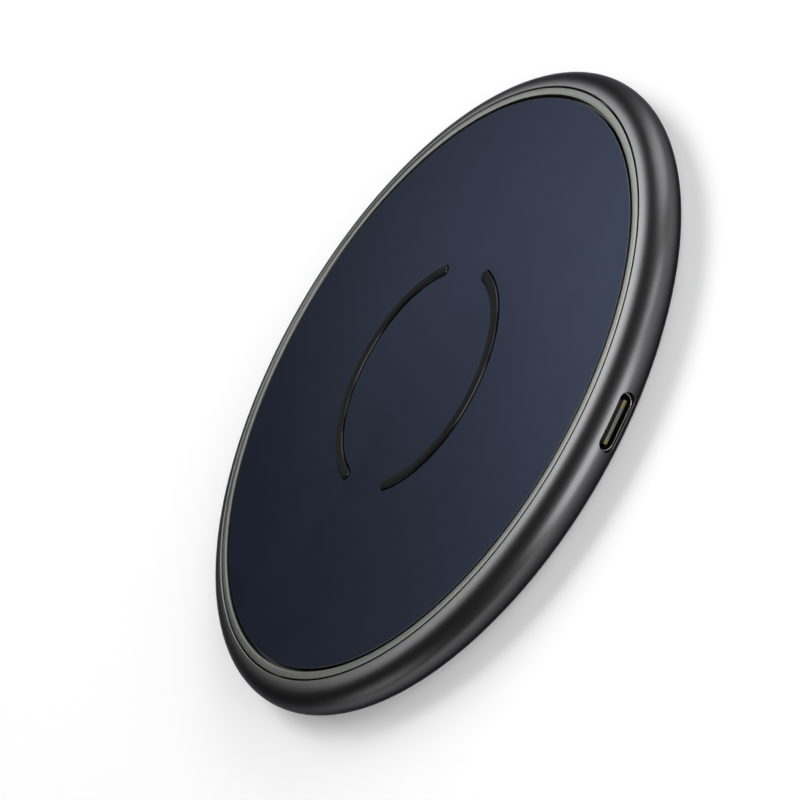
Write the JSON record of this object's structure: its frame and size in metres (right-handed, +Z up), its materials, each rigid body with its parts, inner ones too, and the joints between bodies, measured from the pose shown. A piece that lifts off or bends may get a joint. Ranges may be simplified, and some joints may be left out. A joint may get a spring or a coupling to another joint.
{
  "type": "wireless charging pad",
  "caption": "Low round charging pad with raised rubber arcs on its plate, a metal bezel and rim, and a cable inlet in its side.",
  "frame": {"origin": "middle of the round footprint, on the surface that the pad stands on", "axes": "+Z up through the middle of the pad; the cable inlet faces -Y, and the two grip arcs are centred on -Y and +Y"},
  "size_m": [0.11, 0.1098, 0.0079],
  "materials": {
    "satin_glass": "satin",
    "grip_rubber": "matte",
    "foam_tape": "matte",
    "bezel_metal": "satin",
    "rim_metal": "satin",
    "frame_plastic": "matte",
    "cover_plastic": "matte",
    "foot_rubber": "matte",
    "screw_steel": "satin",
    "carrier_plastic": "matte",
    "ferrite": "matte",
    "film_tape": "gloss",
    "copper_wire": "satin",
    "epoxy_bead": "gloss",
    "circuit_board": "satin",
    "shell_steel": "satin",
    "insulator_plastic": "matte",
    "contact_gold": "polished",
    "chip_epoxy": "matte",
    "capacitor_ceramic": "satin"
  },
  "bodies": {
    "root": {"top_plate": "satin_glass", "grip_strip_front": "grip_rubber", "grip_strip_back": "grip_rubber", "plate_adhesive": "foam_tape", "bezel_ring": "bezel_metal", "rim_frame": "rim_metal", "mid_frame": "frame_plastic", "bottom_cover": "cover_plastic", "foot_ring": "foot_rubber", "housing_screws": "screw_steel", "coil_carrier": "carrier_plastic", "ferrite_shield": "ferrite", "coil_tape": "film_tape", "charging_coil": "copper_wire", "coil_pad": "foam_tape", "thermistor": "epoxy_bead", "main_board": "circuit_board", "board_screws": "screw_steel", "usb_shell": "shell_steel", "usb_insulator": "insulator_plastic", "usb_midplate": "shell_steel", "usb_contacts": "contact_gold", "controller_chip": "chip_epoxy", "bridge_chips": "chip_epoxy", "resonant_capacitors": "capacitor_ceramic", "filter_inductor": "chip_epoxy", "input_capacitors": "capacitor_ceramic", "small_passives": "capacitor_ceramic"}
  },
  "joints": []
}
